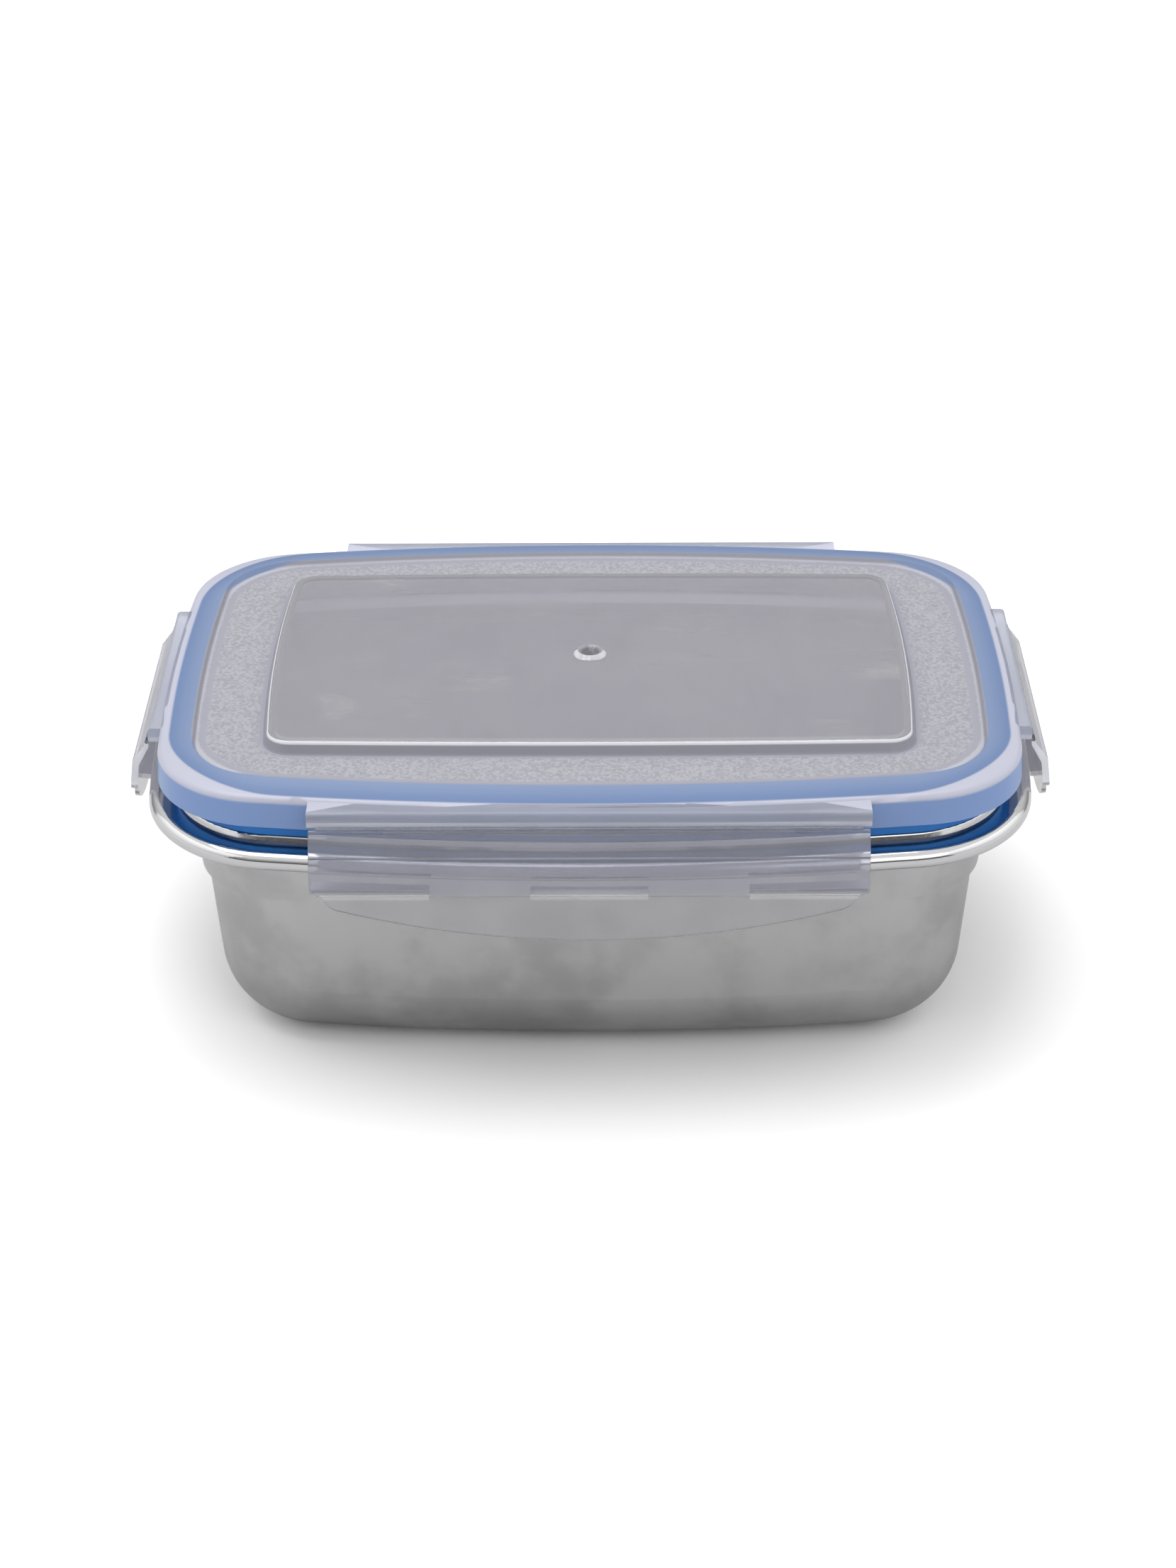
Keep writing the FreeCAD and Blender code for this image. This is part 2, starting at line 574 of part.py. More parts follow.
def make_latch(name):
    """Flap drawn shut in its own frame: hinge axis along X, outwards along -Y; then hung at its rest angle."""
    turn, kind, hooks, half_plan, bow = LATCHES[name]
    length = size(f"{kind}_latch_length")
    hook_length = size(f"{kind}_hook_length")
    hook_pitch = size(f"{kind}_hook_pitch")
    body = new_body(f"{name}_latch")

    inside = size("hinge_inset") + size("latch_clearance")
    outside = inside + size("latch_wall")
    hook_top = curl_z - curl - size("hook_gap") - axis_z
    bottom = hook_top - size("hook_height")
    shoulder = size("latch_shoulder")
    half_neck = size("latch_neck") / 2
    groove_radius = size("film_radius") + size("hinge_play")

    profile = new_sketch(body, "FlapProfile", "YZ_Plane")
    groove_z = -math.sqrt(groove_radius.value ** 2 - half_neck.value ** 2)
    corners = [
        (half_neck, None),
        (half_neck, -(half_neck * 3)),
        (-inside, -shoulder),
        (-inside, bottom),
        (-outside, bottom),
        (-outside, -(shoulder - half_neck * 2)),
        (-half_neck, -(half_neck * 2)),
        (-half_neck, None),
    ]
    points = [Vector(x.value, groove_z if z is None else z.value, 0) for x, z in corners]
    lines = [profile.addGeometry(Part.LineSegment(a, b), False) for a, b in zip(points, points[1:])]
    reach = math.atan2(groove_z, half_neck.value)
    groove = profile.addGeometry(arc((0, 0), groove_radius.value, -math.pi - reach, reach), False)
    for before, after in zip(lines, lines[1:]):
        profile.addConstraint(Sketcher.Constraint("Coincident", before, 2, after, 1))
    profile.addConstraint(Sketcher.Constraint("Coincident", groove, 2, lines[0], 1))
    profile.addConstraint(Sketcher.Constraint("Coincident", lines[-1], 2, groove, 1))
    profile.addConstraint(Sketcher.Constraint("Coincident", groove, 3, -1, 1))
    bind(profile, groove_radius, "Radius", groove)
    bind(profile, half_neck, "DistanceX", -1, 1, lines[0], 1)
    bind(profile, half_neck, "DistanceX", lines[-1], 2, -1, 1)
    for line, (x, z) in zip(lines[1:], corners[1:-1]):
        fix_point(profile, line, 1, x, z)
    flap = pad(body, "Flap", profile, length, symmetric=True)
    half = length.value / 2
    round_edges(body, "FlapCorners", flap, size(f"{kind}_corner_round"), lambda edge, middle:
                near(abs(middle.x), half) and near(middle.z, bottom.value))

    rim_bow = size(bow) + size("rim_outset")
    bow_centre = rim_bow - size("hinge_inset")
    bow_radius = rim_bow - size("hook_engagement")
    ribs = new_sketch(body, "HookPlan", "XY_Plane", hook_top)
    root = -(inside + BURY)
    for index in range(hooks):
        middle = hook_pitch * (index - (hooks - 1) / 2)
        low, high = middle - hook_length / 2, middle + hook_length / 2
        tips = [bow_centre.value - math.sqrt(bow_radius.value ** 2 - x.value ** 2) for x in (low, high)]
        left = ribs.addGeometry(Part.LineSegment(Vector(low.value, tips[0], 0),
                                                 Vector(low.value, root.value, 0)), False)
        across = ribs.addGeometry(Part.LineSegment(Vector(low.value, root.value, 0),
                                                   Vector(high.value, root.value, 0)), False)
        right = ribs.addGeometry(Part.LineSegment(Vector(high.value, root.value, 0),
                                                  Vector(high.value, tips[1], 0)), False)
        angles = [math.atan2(tip - bow_centre.value, x.value) for tip, x in zip(tips, (low, high))]
        nose = ribs.addGeometry(arc((0, bow_centre.value), bow_radius.value, *angles), False)
        for where in ((left, 2, across, 1), (across, 2, right, 1), (right, 2, nose, 2), (nose, 1, left, 1)):
            ribs.addConstraint(Sketcher.Constraint("Coincident", *where))
        ribs.addConstraint(Sketcher.Constraint("Vertical", left))
        ribs.addConstraint(Sketcher.Constraint("Vertical", right))
        fix_point(ribs, across, 1, low, root)
        fix_point(ribs, across, 2, high, root)
        ribs.addConstraint(Sketcher.Constraint("PointOnObject", nose, 3, -2))
        bind(ribs, bow_centre, "DistanceY", -1, 1, nose, 3)
        bind(ribs, bow_radius, "Radius", nose)
    pad(body, "Hooks", ribs, size("hook_height"), reverse=True)

    half_root = length / 2 - size(f"{kind}_tab_inset")
    half_tab = half_root - size("tab_side_run")
    head = bottom + size("hook_height") / 2
    side_foot = bottom - size("tab_side_drop")
    sag = size("tab_drop") - size("tab_side_drop")
    radius = (half_tab * half_tab + sag * sag) / (sag * 2)
    tab = new_sketch(body, "TabPlan", "XZ_Plane", inside)
    corners = [(-half_tab, side_foot), (-half_root, bottom), (-half_root, head), (half_root, head),
               (half_root, bottom), (half_tab, side_foot)]
    points = [Vector(x.value, z.value, 0) for x, z in corners]
    sides = [tab.addGeometry(Part.LineSegment(a, b), False) for a, b in zip(points, points[1:])]
    centre_z = side_foot.value - sag.value + radius.value
    spread = math.atan2(side_foot.value - centre_z, half_tab.value)
    curve = tab.addGeometry(arc((0, centre_z), radius.value, -math.pi - spread, spread), False)
    for before, after in zip(sides, sides[1:]):
        tab.addConstraint(Sketcher.Constraint("Coincident", before, 2, after, 1))
    tab.addConstraint(Sketcher.Constraint("Coincident", sides[-1], 2, curve, 2))
    tab.addConstraint(Sketcher.Constraint("Coincident", curve, 1, sides[0], 1))
    for line, (x, z) in zip(sides, corners):
        fix_point(tab, line, 1, x, z)
    fix_point(tab, sides[-1], 2, *corners[-1])
    bind(tab, radius, "Radius", curve)
    grip = pad(body, "Tab", tab, size("tab_thickness"))
    body.Tip = round_edges(body, "TabCorners", grip, size("tab_round"), lambda edge, middle:
                           near(abs(middle.x), half_tab.value) and near(middle.z, side_foot.value))

    swing = Rotation(Vector(1, 0, 0), -SIZES["latch_rest_angle"])
    about_z = Rotation(Vector(0, 0, 1), turn)
    body.Placement = Placement(hinge_point(name), about_z.multiply(swing))
    return body


def hinge_point(name):
    """Middle of a latch's hinge axis."""
    turn, _, _, half_plan, _ = LATCHES[name]
    outwards = Rotation(Vector(0, 0, 1), turn).multVec(Vector(0, -1, 0))
    return outwards * (half_plan + axis_out).value + Vector(0, 0, axis_z.value)


def make_hinge(name):
    """Film hinge, as a thin round web on the axis between a land and its latch."""
    turn, kind, _, _, _ = LATCHES[name]
    web = doc.addObject("Part::Cylinder", f"{name}_hinge")
    web.Label = f"{name}_hinge"
    web_length = size(f"{kind}_latch_length") - size("notch") * 2
    web.setExpression("Radius", "Sizes.film_radius")
    web.setExpression("Height", web_length.text)
    along_x = Rotation(Vector(0, 1, 0), 90)
    about_z = Rotation(Vector(0, 0, 1), turn)
    start = about_z.multVec(Vector(-web_length.value / 2, 0, 0))
    web.Placement = Placement(hinge_point(name) + start, about_z.multiply(along_x))
    return web


pieces = [make_tray(), make_gasket(), make_lid()]
for side in LATCHES:
    pieces.append(make_latch(side))
    pieces.append(make_hinge(side))
doc.recompute()

for item in doc.Objects:
    if {"Invalid", "Error"} & set(item.State):
        raise RuntimeError(f"{item.Label} did not build: {item.State}")
for piece in pieces:
    if piece.Shape.isNull() or not piece.Shape.isValid() or len(piece.Shape.Solids) != 1:
        raise RuntimeError(f"{piece.Label} is not one sound solid")

os.makedirs("parts", exist_ok=True)
for piece in pieces:
    piece.Shape.exportStep(f"parts/{piece.Label}.step")
    box = piece.Shape.BoundBox
    print(f"{piece.Label}: {piece.Shape.Volume / 1000:.2f} cm3, "
          f"{box.XLength:.1f} x {box.YLength:.1f} x {box.ZLength:.1f} mm")
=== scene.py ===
import math

import bmesh
import bpy
from mathutils import Matrix, Vector

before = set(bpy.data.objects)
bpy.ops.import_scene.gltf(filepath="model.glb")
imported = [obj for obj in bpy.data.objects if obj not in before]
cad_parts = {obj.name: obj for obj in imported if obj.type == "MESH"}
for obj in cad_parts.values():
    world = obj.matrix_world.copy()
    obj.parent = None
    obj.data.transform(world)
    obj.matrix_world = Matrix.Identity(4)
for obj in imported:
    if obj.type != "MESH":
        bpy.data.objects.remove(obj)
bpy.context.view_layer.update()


# Tray: one deep-drawn shell of thin stainless sheet, satin on its walls, with a rolled rim that the
# rolling has left brighter. It stands by itself and carries everything else.

MM = 0.001
RIM_FADE = (53.6 * MM, 54.6 * MM)
STEEL_DULL, STEEL_BRIGHT = (0.405, 0.405, 0.408), (0.52, 0.52, 0.523)
RIM_BRIGHT = (0.62, 0.62, 0.625)
SATIN_GLOSS, RIM_GLOSS = (0.3, 0.4), 0.12
BLOTCH_SHARE, MARK_RANGE, CLOUD_RANGE = 0.38, (0.2, 0.8), (0.28, 0.72)


def shader(name):
    """A new material, its node tree and its Principled shader."""
    made = bpy.data.materials.new(name)
    made.use_nodes = True
    return made, made.node_tree, made.node_tree.nodes["Principled BSDF"]


def add(tree, kind, feeds=None, **settings):
    """A node with its settings, and each named input either linked or given a value."""
    made = tree.nodes.new(kind)
    for key, value in settings.items():
        setattr(made, key, value)
    for key, value in (feeds or {}).items():
        if isinstance(value, bpy.types.NodeSocket):
            tree.links.new(value, made.inputs[key])
        else:
            made.inputs[key].default_value = value
    return made


def ramp(tree, value, low, high, out_low=0.0, out_high=1.0):
    """A value carried smoothly from one range to another."""
    feeds = {"Value": value, "From Min": low, "From Max": high, "To Min": out_low, "To Max": out_high}
    return add(tree, "ShaderNodeMapRange", feeds, interpolation_type="SMOOTHSTEP").outputs["Result"]


def blend(tree, mask, first, second):
    """Two colours mixed by a mask."""
    made = add(tree, "ShaderNodeMix", data_type="RGBA")
    tree.links.new(mask, made.inputs["Factor"])
    for name, value in (("A", first), ("B", second)):
        socket = next(s for s in made.inputs if s.name == name and s.type == "RGBA")
        if isinstance(value, bpy.types.NodeSocket):
            tree.links.new(value, socket)
        else:
            socket.default_value = (*value, 1.0)
    return next(s for s in made.outputs if s.type == "RGBA")


def between(tree, mask, first, second):
    """Two numbers mixed by a mask."""
    feeds = {"Factor": mask, "A": first, "B": second}
    return add(tree, "ShaderNodeMix", feeds, data_type="FLOAT").outputs["Result"]


def new_group(name, floats, output):
    """A shader node group with a Vector input, named numbers and one output."""
    group = bpy.data.node_groups.new(name, "ShaderNodeTree")
    sockets = group.interface
    sockets.new_socket("Vector", in_out="INPUT", socket_type="NodeSocketVector")
    for label, value in floats.items():
        made = sockets.new_socket(label, in_out="INPUT", socket_type="NodeSocketFloat")
        made.default_value = value
    sockets.new_socket(output, in_out="OUTPUT", socket_type="NodeSocketFloat")
    feed = group.nodes.new("NodeGroupInput").outputs
    return group, feed, group.nodes.new("NodeGroupOutput").inputs[output]


def use_group(tree, group, place, **numbers):
    """A group placed in a material, and its one output."""
    feeds = {"Vector": place, **{key.replace("_", " "): value for key, value in numbers.items()}}
    return add(tree, "ShaderNodeGroup", feeds, node_tree=group).outputs[0]


def object_place(tree):
    """The piece's own coordinates."""
    return add(tree, "ShaderNodeTexCoord").outputs["Object"]


def axes(tree, place):
    """Coordinates split into X, Y and Z."""
    return add(tree, "ShaderNodeSeparateXYZ", {"Vector": place}).outputs


def dress(node, *finishes):
    """Give a piece its finishes, in slot order."""
    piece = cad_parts[node]
    piece.data.materials.clear()
    for finish in finishes:
        piece.data.materials.append(finish)
    return piece


# handling marks: large soft clouds broken by smaller ones
smudges, feed, out = new_group("handling_smudges", {"Scale": 20.0}, "Mask")
cloud_feeds = {"Vector": feed["Vector"], "Scale": feed["Scale"], "Detail": 4.0, "Roughness": 0.55}
clouds = add(smudges, "ShaderNodeTexNoise", cloud_feeds).outputs["Fac"]
smudges.links.new(ramp(smudges, clouds, *CLOUD_RANGE), out)

# fine lines of the drawing die, which run up and down the wall
lines, feed, out = new_group("drawn_lines", {"Across": 900.0, "Along": 14.0}, "Height")
stretch_feeds = {"X": feed["Across"], "Y": feed["Across"], "Z": feed["Along"]}
stretch = add(lines, "ShaderNodeCombineXYZ", stretch_feeds).outputs["Vector"]
stretched = add(lines, "ShaderNodeVectorMath", {0: feed["Vector"], 1: stretch}, operation="MULTIPLY")
streak_feeds = {"Vector": stretched.outputs["Vector"], "Scale": 1.0, "Detail": 2.0}
lines.links.new(add(lines, "ShaderNodeTexNoise", streak_feeds).outputs["Fac"], out)

steel, tree, skin = shader("satin_steel")
place = object_place(tree)
clouds = use_group(tree, smudges, place, Scale=26.0)
blotches = use_group(tree, smudges, place, Scale=75.0)
marks = ramp(tree, between(tree, BLOTCH_SHARE, clouds, blotches), *MARK_RANGE)
drawn = use_group(tree, lines, place, Across=1100.0, Along=16.0)
polished = ramp(tree, axes(tree, place)["Z"], *RIM_FADE)
satin = ramp(tree, marks, 0.0, 1.0, *SATIN_GLOSS)
tree.links.new(between(tree, polished, satin, RIM_GLOSS), skin.inputs["Roughness"])
wall = blend(tree, marks, STEEL_DULL, STEEL_BRIGHT)
tree.links.new(blend(tree, polished, wall, RIM_BRIGHT), skin.inputs["Base Color"])
skin.inputs["Metallic"].default_value = 1.0
relief = add(tree, "ShaderNodeBump", {"Height": drawn, "Strength": 0.08, "Distance": 0.2 * MM})
tree.links.new(relief.outputs["Normal"], skin.inputs["Normal"])
dress("steel_tray", steel)


# Gasket: a moulded ring of soft silicone, saturated blue and matt, with a faint bloom from washing.
# It is pressed into the channel under the lid's edge and can be peeled out.

SILICONE_BLUE, SILICONE_BLOOM = (0.005, 0.14, 0.48), (0.010, 0.18, 0.55)
SILICONE_GLOSS = (0.42, 0.55)


def smudged(tree, place, clean, worn, gloss, scale):
    """A colour and a roughness that vary together with handling marks."""
    marks = use_group(tree, smudges, place, Scale=scale)
    return blend(tree, marks, clean, worn), ramp(tree, marks, 0.0, 1.0, *gloss)


silicone, tree, skin = shader("blue_silicone")
place = object_place(tree)
colour, rough = smudged(tree, place, SILICONE_BLUE, SILICONE_BLOOM, SILICONE_GLOSS, scale=60.0)
tree.links.new(colour, skin.inputs["Base Color"])
tree.links.new(rough, skin.inputs["Roughness"])
dress("gasket", silicone)


# Lid: one injection moulding of translucent plastic. The raised panel is clear and handled, the deck
# round it has a spark-eroded grain, the edge over the gasket is smooth and shows the ring below, and the
# four hinge lands are hazy, with a thicker, paler lip. Painted highlight lies on the lip, the panel's
# top edge and the ring's inner edge, and painted shade lies on the panel's flank, round its foot and
# along the deck's moulded step.

EDGE_PLAN = {
    "Half_X": 92.0 * MM,
    "Half_Y": 61.7 * MM,
    "Corner": 22.5 * MM,
    "Bow_X": 560 * MM,
    "Bow_Y": 560 * MM,
}
PANEL_PLAN = {
    "Half_X": 71.5 * MM,
    "Half_Y": 42.3 * MM,
    "Corner": 6.2 * MM,
    "Bow_X": 460 * MM,
    "Bow_Y": 2400 * MM,
}
DECK_TOP, PANEL_TOP, LIP_TOP = 71.0 * MM, 73.8 * MM, 68.3 * MM
PANEL_RISE = (71.1 * MM, 71.4 * MM)
FLANK_FADE = (72.9 * MM, 73.3 * MM)
SHOULDER_FADE = (69.2 * MM, 70.0 * MM)
PANEL_BROW_HIGHLIGHT, FOOT_SHADE_LINE = -2.8 * MM, (0.4 * MM, 1.4 * MM)
RING_BAND, RING_LINE, STEP_LINE = (-5.3 * MM, 0.7 * MM), -6.7 * MM, (-8.4 * MM, -7.0 * MM)
RING_SIDE_INSET, RING_TURN = 1.1 * MM, (62 * MM, 92 * MM)
GATE_PIT, GATE_RING, GATE_HALO = 1.7 * MM, 2.5 * MM, 3.9 * MM
LAND_LONG, LAND_SHORT = 59.0 * MM, 28.8 * MM
LAND_ROOT_X, LAND_ROOT_Y = 92.7 * MM, 62.4 * MM
LINE_BLUR, LIP_BLUR = 0.35 * MM, 0.2 * MM
TOP_MARGIN, FACES_DOWN = 0.1 * MM, -0.9
SCRATCH_RANGE, WORN_RANGE = (0.5, 0.72), (0.52, 0.66)

DECK_FROST, DECK_PIT, PIT_RANGE = (0.46, 0.455, 0.50), (0.33, 0.33, 0.37), (0.36, 0.64)
STEP_SHADE, RING_EDGE_HIGHLIGHT = (0.37, 0.37, 0.435), (0.52, 0.52, 0.58)
FLANK_SHADE, RIM_WHITENING_AND_HIGHLIGHT = (0.33, 0.33, 0.375), (0.88, 0.88, 0.93)
RING_INNER, RING_OUTER = (0.205, 0.285, 0.475), (0.13, 0.215, 0.42)
SHOULDER_FROST, SKIRT_BLUE = (0.55, 0.56, 0.66), (0.20, 0.315, 0.59)
PANEL_CLEAR, PANEL_SMUDGE = (0.735, 0.72, 0.80), (0.775, 0.765, 0.835)
PANEL_SCRATCH, GATE_WHITE_AND_BROW_HIGHLIGHT, GATE_GREY = (0.93, 0.93, 0.95), (0.93, 0.93, 0.97), (0.30, 0.30, 0.33)
LAND_HAZE, LAND_SMUDGE, LIP_PALE_AND_HIGHLIGHT = (0.61, 0.635, 0.745), (0.66, 0.68, 0.78), (0.95, 0.95, 0.98)
EDGE_GLOSS, DECK_GLOSS, PANEL_GLOSS, LAND_GLOSS = (0.29, 0.36), 0.55, (0.04, 0.10), (0.30, 0.40)
PLASTIC_IOR = 1.49


def maths(tree, operation, first, second=0.0):
    """One sum, and its result."""
    return add(tree, "ShaderNodeMath", {0: first, 1: second}, operation=operation).outputs["Value"]


def above(tree, value, level, blur):
    """One above a level and nought below it, with a soft edge."""
    return ramp(tree, value, level - blur, level + blur)


def beneath(tree, value, level, blur):
    """One below a level and nought above it, with a soft edge."""
    return ramp(tree, value, level - blur, level + blur, 1.0, 0.0)


# grain of the spark-eroded mould
grain, feed, out = new_group("mould_grain", {"Scale": 1400.0}, "Height")
speckle_feeds = {"Vector": feed["Vector"], "Scale": feed["Scale"], "Detail": 3.0}
grain.links.new(add(grain, "ShaderNodeTexNoise", speckle_feeds).outputs["Fac"], out)

# how far a point lies outside a rounded rectangle with bowed sides, in plan
plan_inputs = {key.replace("_", " "): value for key, value in EDGE_PLAN.items()}
plan, feed, out = new_group("rounded_plan", plan_inputs, "Outside")
split = axes(plan, feed["Vector"])
past = []
for axis, other in (("X", "Y"), ("Y", "X")):
    square = maths(plan, "MULTIPLY", split[other], split[other])
    bow = maths(plan, "MULTIPLY", maths(plan, "DIVIDE", square, feed["Bow " + axis]), 0.5)
    far = maths(plan, "ADD", maths(plan, "ABSOLUTE", split[axis]), bow)
    straight = maths(plan, "SUBTRACT", feed["Half " + axis], feed["Corner"])
    past.append(maths(plan, "SUBTRACT", far, straight))
outer = [maths(plan, "MAXIMUM", value, 0.0) for value in past]
squares = [maths(plan, "MULTIPLY", value, value) for value in outer]
round_part = maths(plan, "SQRT", maths(plan, "ADD", *squares))
straight_part = maths(plan, "MINIMUM", maths(plan, "MAXIMUM", *past), 0.0)
whole = maths(plan, "SUBTRACT", maths(plan, "ADD", round_part, straight_part), feed["Corner"])
plan.links.new(whole, out)

# scuffs: short pale scratches, gathered where a hand or a shelf has rubbed
scuffs, feed, out = new_group("rubbed_scuffs", {"Scale": 60.0}, "Mask")
turn_feeds = {"Vector": feed["Vector"], "Rotation": (0.0, 0.0, 0.7), "Scale": (0.35, 1.0, 1.0)}
turned = add(scuffs, "ShaderNodeMapping", turn_feeds).outputs["Vector"]
scratch_feeds = {
    "Vector": turned,
    "Scale": feed["Scale"],
    "Detail": 6.0,
    "Roughness": 0.68,
    "Distortion": 0.8,
}
scratch = add(scuffs, "ShaderNodeTexNoise", scratch_feeds).outputs["Fac"]
worn_feeds = {"Vector": feed["Vector"], "Scale": 38.0, "Detail": 1.0}
worn = add(scuffs, "ShaderNodeTexNoise", worn_feeds).outputs["Fac"]
scratched = ramp(scuffs, scratch, *SCRATCH_RANGE)
scuffs.links.new(maths(scuffs, "MULTIPLY", scratched, ramp(scuffs, worn, *WORN_RANGE)), out)

plastic, tree, skin = shader("frosted_lid_plastic")
place = object_place(tree)
split = axes(tree, place)
z = split["Z"]
marks = use_group(tree, smudges, place, Scale=34.0)
pitted = use_group(tree, grain, place, Scale=1500.0)
outside = use_group(tree, plan, place, **EDGE_PLAN)
past_panel = use_group(tree, plan, place, **PANEL_PLAN)
within = beneath(tree, outside, RING_BAND[0], LINE_BLUR)
raised = ramp(tree, z, *PANEL_RISE)
deck = maths(tree, "MULTIPLY", within, maths(tree, "SUBTRACT", 1.0, raised))

# painted shade: a thin dark line along the moulded step in the deck
step_in = above(tree, outside, STEP_LINE[0], LINE_BLUR)
step_out = beneath(tree, outside, STEP_LINE[1], LINE_BLUR)
frost = blend(tree, ramp(tree, pitted, *PIT_RANGE), DECK_PIT, DECK_FROST)
flat = blend(tree, maths(tree, "MULTIPLY", step_in, step_out), frost, STEP_SHADE)
# painted highlight: a pale line along the ring's inner edge
flat = blend(tree, above(tree, outside, RING_LINE, LINE_BLUR), flat, RING_EDGE_HIGHLIGHT)
# painted shade: a dark line round the foot of the raised panel
flat = blend(tree, ramp(tree, past_panel, *FOOT_SHADE_LINE, 1.0, 0.0), flat, STEP_SHADE)
# the panel's flank: painted shade low down, and near the top a painted highlight on its partly
# stress-whitened edge
flank_shade_and_highlight = blend(tree, ramp(tree, z, *FLANK_FADE), FLANK_SHADE, RIM_WHITENING_AND_HIGHLIGHT)
middle = blend(tree, raised, flat, flank_shade_and_highlight)

sideways = ramp(tree, maths(tree, "ABSOLUTE", split["X"]), *RING_TURN)
shifted = maths(tree, "ADD", outside, maths(tree, "MULTIPLY", sideways, RING_SIDE_INSET))
beyond = above(tree, shifted, RING_BAND[1], LINE_BLUR)
edge = blend(tree, ramp(tree, z, *SHOULDER_FADE, 1.0, 0.0), SHOULDER_FROST, SKIRT_BLUE)
band = blend(tree, ramp(tree, outside, *RING_BAND), RING_INNER, RING_OUTER)
rim = blend(tree, beyond, band, edge)
tree.links.new(blend(tree, within, rim, middle), skin.inputs["Base Color"])

edge_gloss = ramp(tree, marks, 0.0, 1.0, *EDGE_GLOSS)
tree.links.new(between(tree, deck, edge_gloss, DECK_GLOSS), skin.inputs["Roughness"])
depth = maths(tree, "MULTIPLY", pitted, deck)
relief = add(tree, "ShaderNodeBump", {"Height": depth, "Strength": 0.35, "Distance": 0.2 * MM})
tree.links.new(relief.outputs["Normal"], skin.inputs["Normal"])
skin.inputs["IOR"].default_value = PLASTIC_IOR
skin.inputs["Transmission Weight"].default_value = 0.3

window, tree, skin = shader("clear_panel_plastic")
place = object_place(tree)
split = axes(tree, place)
marks = use_group(tree, smudges, place, Scale=34.0)
rubbed = use_group(tree, scuffs, place, Scale=110.0)
past_panel = use_group(tree, plan, place, **PANEL_PLAN)
top = blend(tree, marks, PANEL_CLEAR, PANEL_SMUDGE)
top = blend(tree, rubbed, top, PANEL_SCRATCH)
flatwise = add(tree, "ShaderNodeCombineXYZ", {"X": split["X"], "Y": split["Y"]}).outputs["Vector"]
radius = add(tree, "ShaderNodeVectorMath", {0: flatwise}, operation="LENGTH").outputs["Value"]
top = blend(tree, ramp(tree, radius, GATE_RING, GATE_HALO, 1.0, 0.0), top, GATE_WHITE_AND_BROW_HIGHLIGHT)
top = blend(tree, ramp(tree, radius, GATE_PIT, GATE_RING, 1.0, 0.0), top, GATE_GREY)
# painted highlight along the panel's top edge, partly its stress-whitened rim
top = blend(tree, above(tree, past_panel, PANEL_BROW_HIGHLIGHT, LINE_BLUR), top, GATE_WHITE_AND_BROW_HIGHLIGHT)
tree.links.new(top, skin.inputs["Base Color"])
handled = maths(tree, "MAXIMUM", marks, rubbed)
tree.links.new(ramp(tree, handled, 0.0, 1.0, *PANEL_GLOSS), skin.inputs["Roughness"])
relief = add(tree, "ShaderNodeBump", {"Height": rubbed, "Strength": 0.5, "Distance": 0.1 * MM})
tree.links.new(relief.outputs["Normal"], skin.inputs["Normal"])
skin.inputs["IOR"].default_value = PLASTIC_IOR
skin.inputs["Transmission Weight"].default_value = 0.82

hazy, tree, skin = shader("hazy_land_plastic")
place = object_place(tree)
colour, rough = smudged(tree, place, LAND_HAZE, LAND_SMUDGE, LAND_GLOSS, scale=60.0)
# the pale lip: painted highlight, partly the thicker, whiter plastic there
lip = beneath(tree, axes(tree, place)["Z"], LIP_TOP, LIP_BLUR)
tree.links.new(blend(tree, lip, colour, LIP_PALE_AND_HIGHLIGHT), skin.inputs["Base Color"])
tree.links.new(rough, skin.inputs["Roughness"])
skin.inputs["IOR"].default_value = PLASTIC_IOR
skin.inputs["Transmission Weight"].default_value = 0.7

# the panel's flat top and underside are clear, the lands hazy, and the rest frosted
lid = dress("lid", plastic, window, hazy)
FROSTED, CLEAR, HAZY = range(3)
for face in lid.data.polygons:
    out_x, out_y = abs(face.center.x), abs(face.center.y)
    over_panel = out_x < PANEL_PLAN["Half_X"] and out_y < PANEL_PLAN["Half_Y"]
    upper = face.center.z > PANEL_TOP - TOP_MARGIN
    lower = face.normal.z < FACES_DOWN and face.center.z > DECK_TOP
    on_long_land = out_y > LAND_ROOT_Y and out_x < LAND_LONG
    on_short_land = out_x > LAND_ROOT_X and out_y < LAND_SHORT
    if on_long_land or on_short_land:
        face.material_index = HAZY
    elif over_panel and (upper or lower):
        face.material_index = CLEAR
    else:
        face.material_index = FROSTED


# Latches: four flaps of the same plastic, clearer, each with a thin grip tab below and hook ribs behind
# that catch under the rolled rim. The plastic looks whiter where the hooks and the flap's ends are
# thick, and pale strips of painted highlight, partly the thicker plastic at the ribs' roots, lie over
# the ribs.

HINGE_LEVEL = 66.9 * MM
HINGE_SPOT = {
    "front": Vector((0, -66.0 * MM, 0)),
    "back": Vector((0, 66.0 * MM, 0)),
    "left": Vector((-96.3 * MM, 0, 0)),
    "right": Vector((96.3 * MM, 0, 0)),
}
REST_SWING = math.radians(7)
HOOK_FACE, HOOK_TOP, FACES_END = 1.3 * MM, -12.7 * MM, 0.9
HOOK_FOOT, HOOK_ROOT, HOOK_BLUR = 52.3 * MM, 54.3 * MM, 0.2 * MM
LONG_HOOK, LONG_PITCH = 24.5 * MM, 45.6 * MM
SHORT_HOOK, SHORT_PITCH = 15 * MM, 24 * MM
FLAP_END, FLAP_BLUR, SIDE_LATCH_FROM = 53.6 * MM, 0.5 * MM, 80 * MM
FLAP_CLEAR, FLAP_SMUDGE, FLAP_GLOSS = (0.60, 0.605, 0.675), (0.64, 0.645, 0.71), (0.06, 0.12)
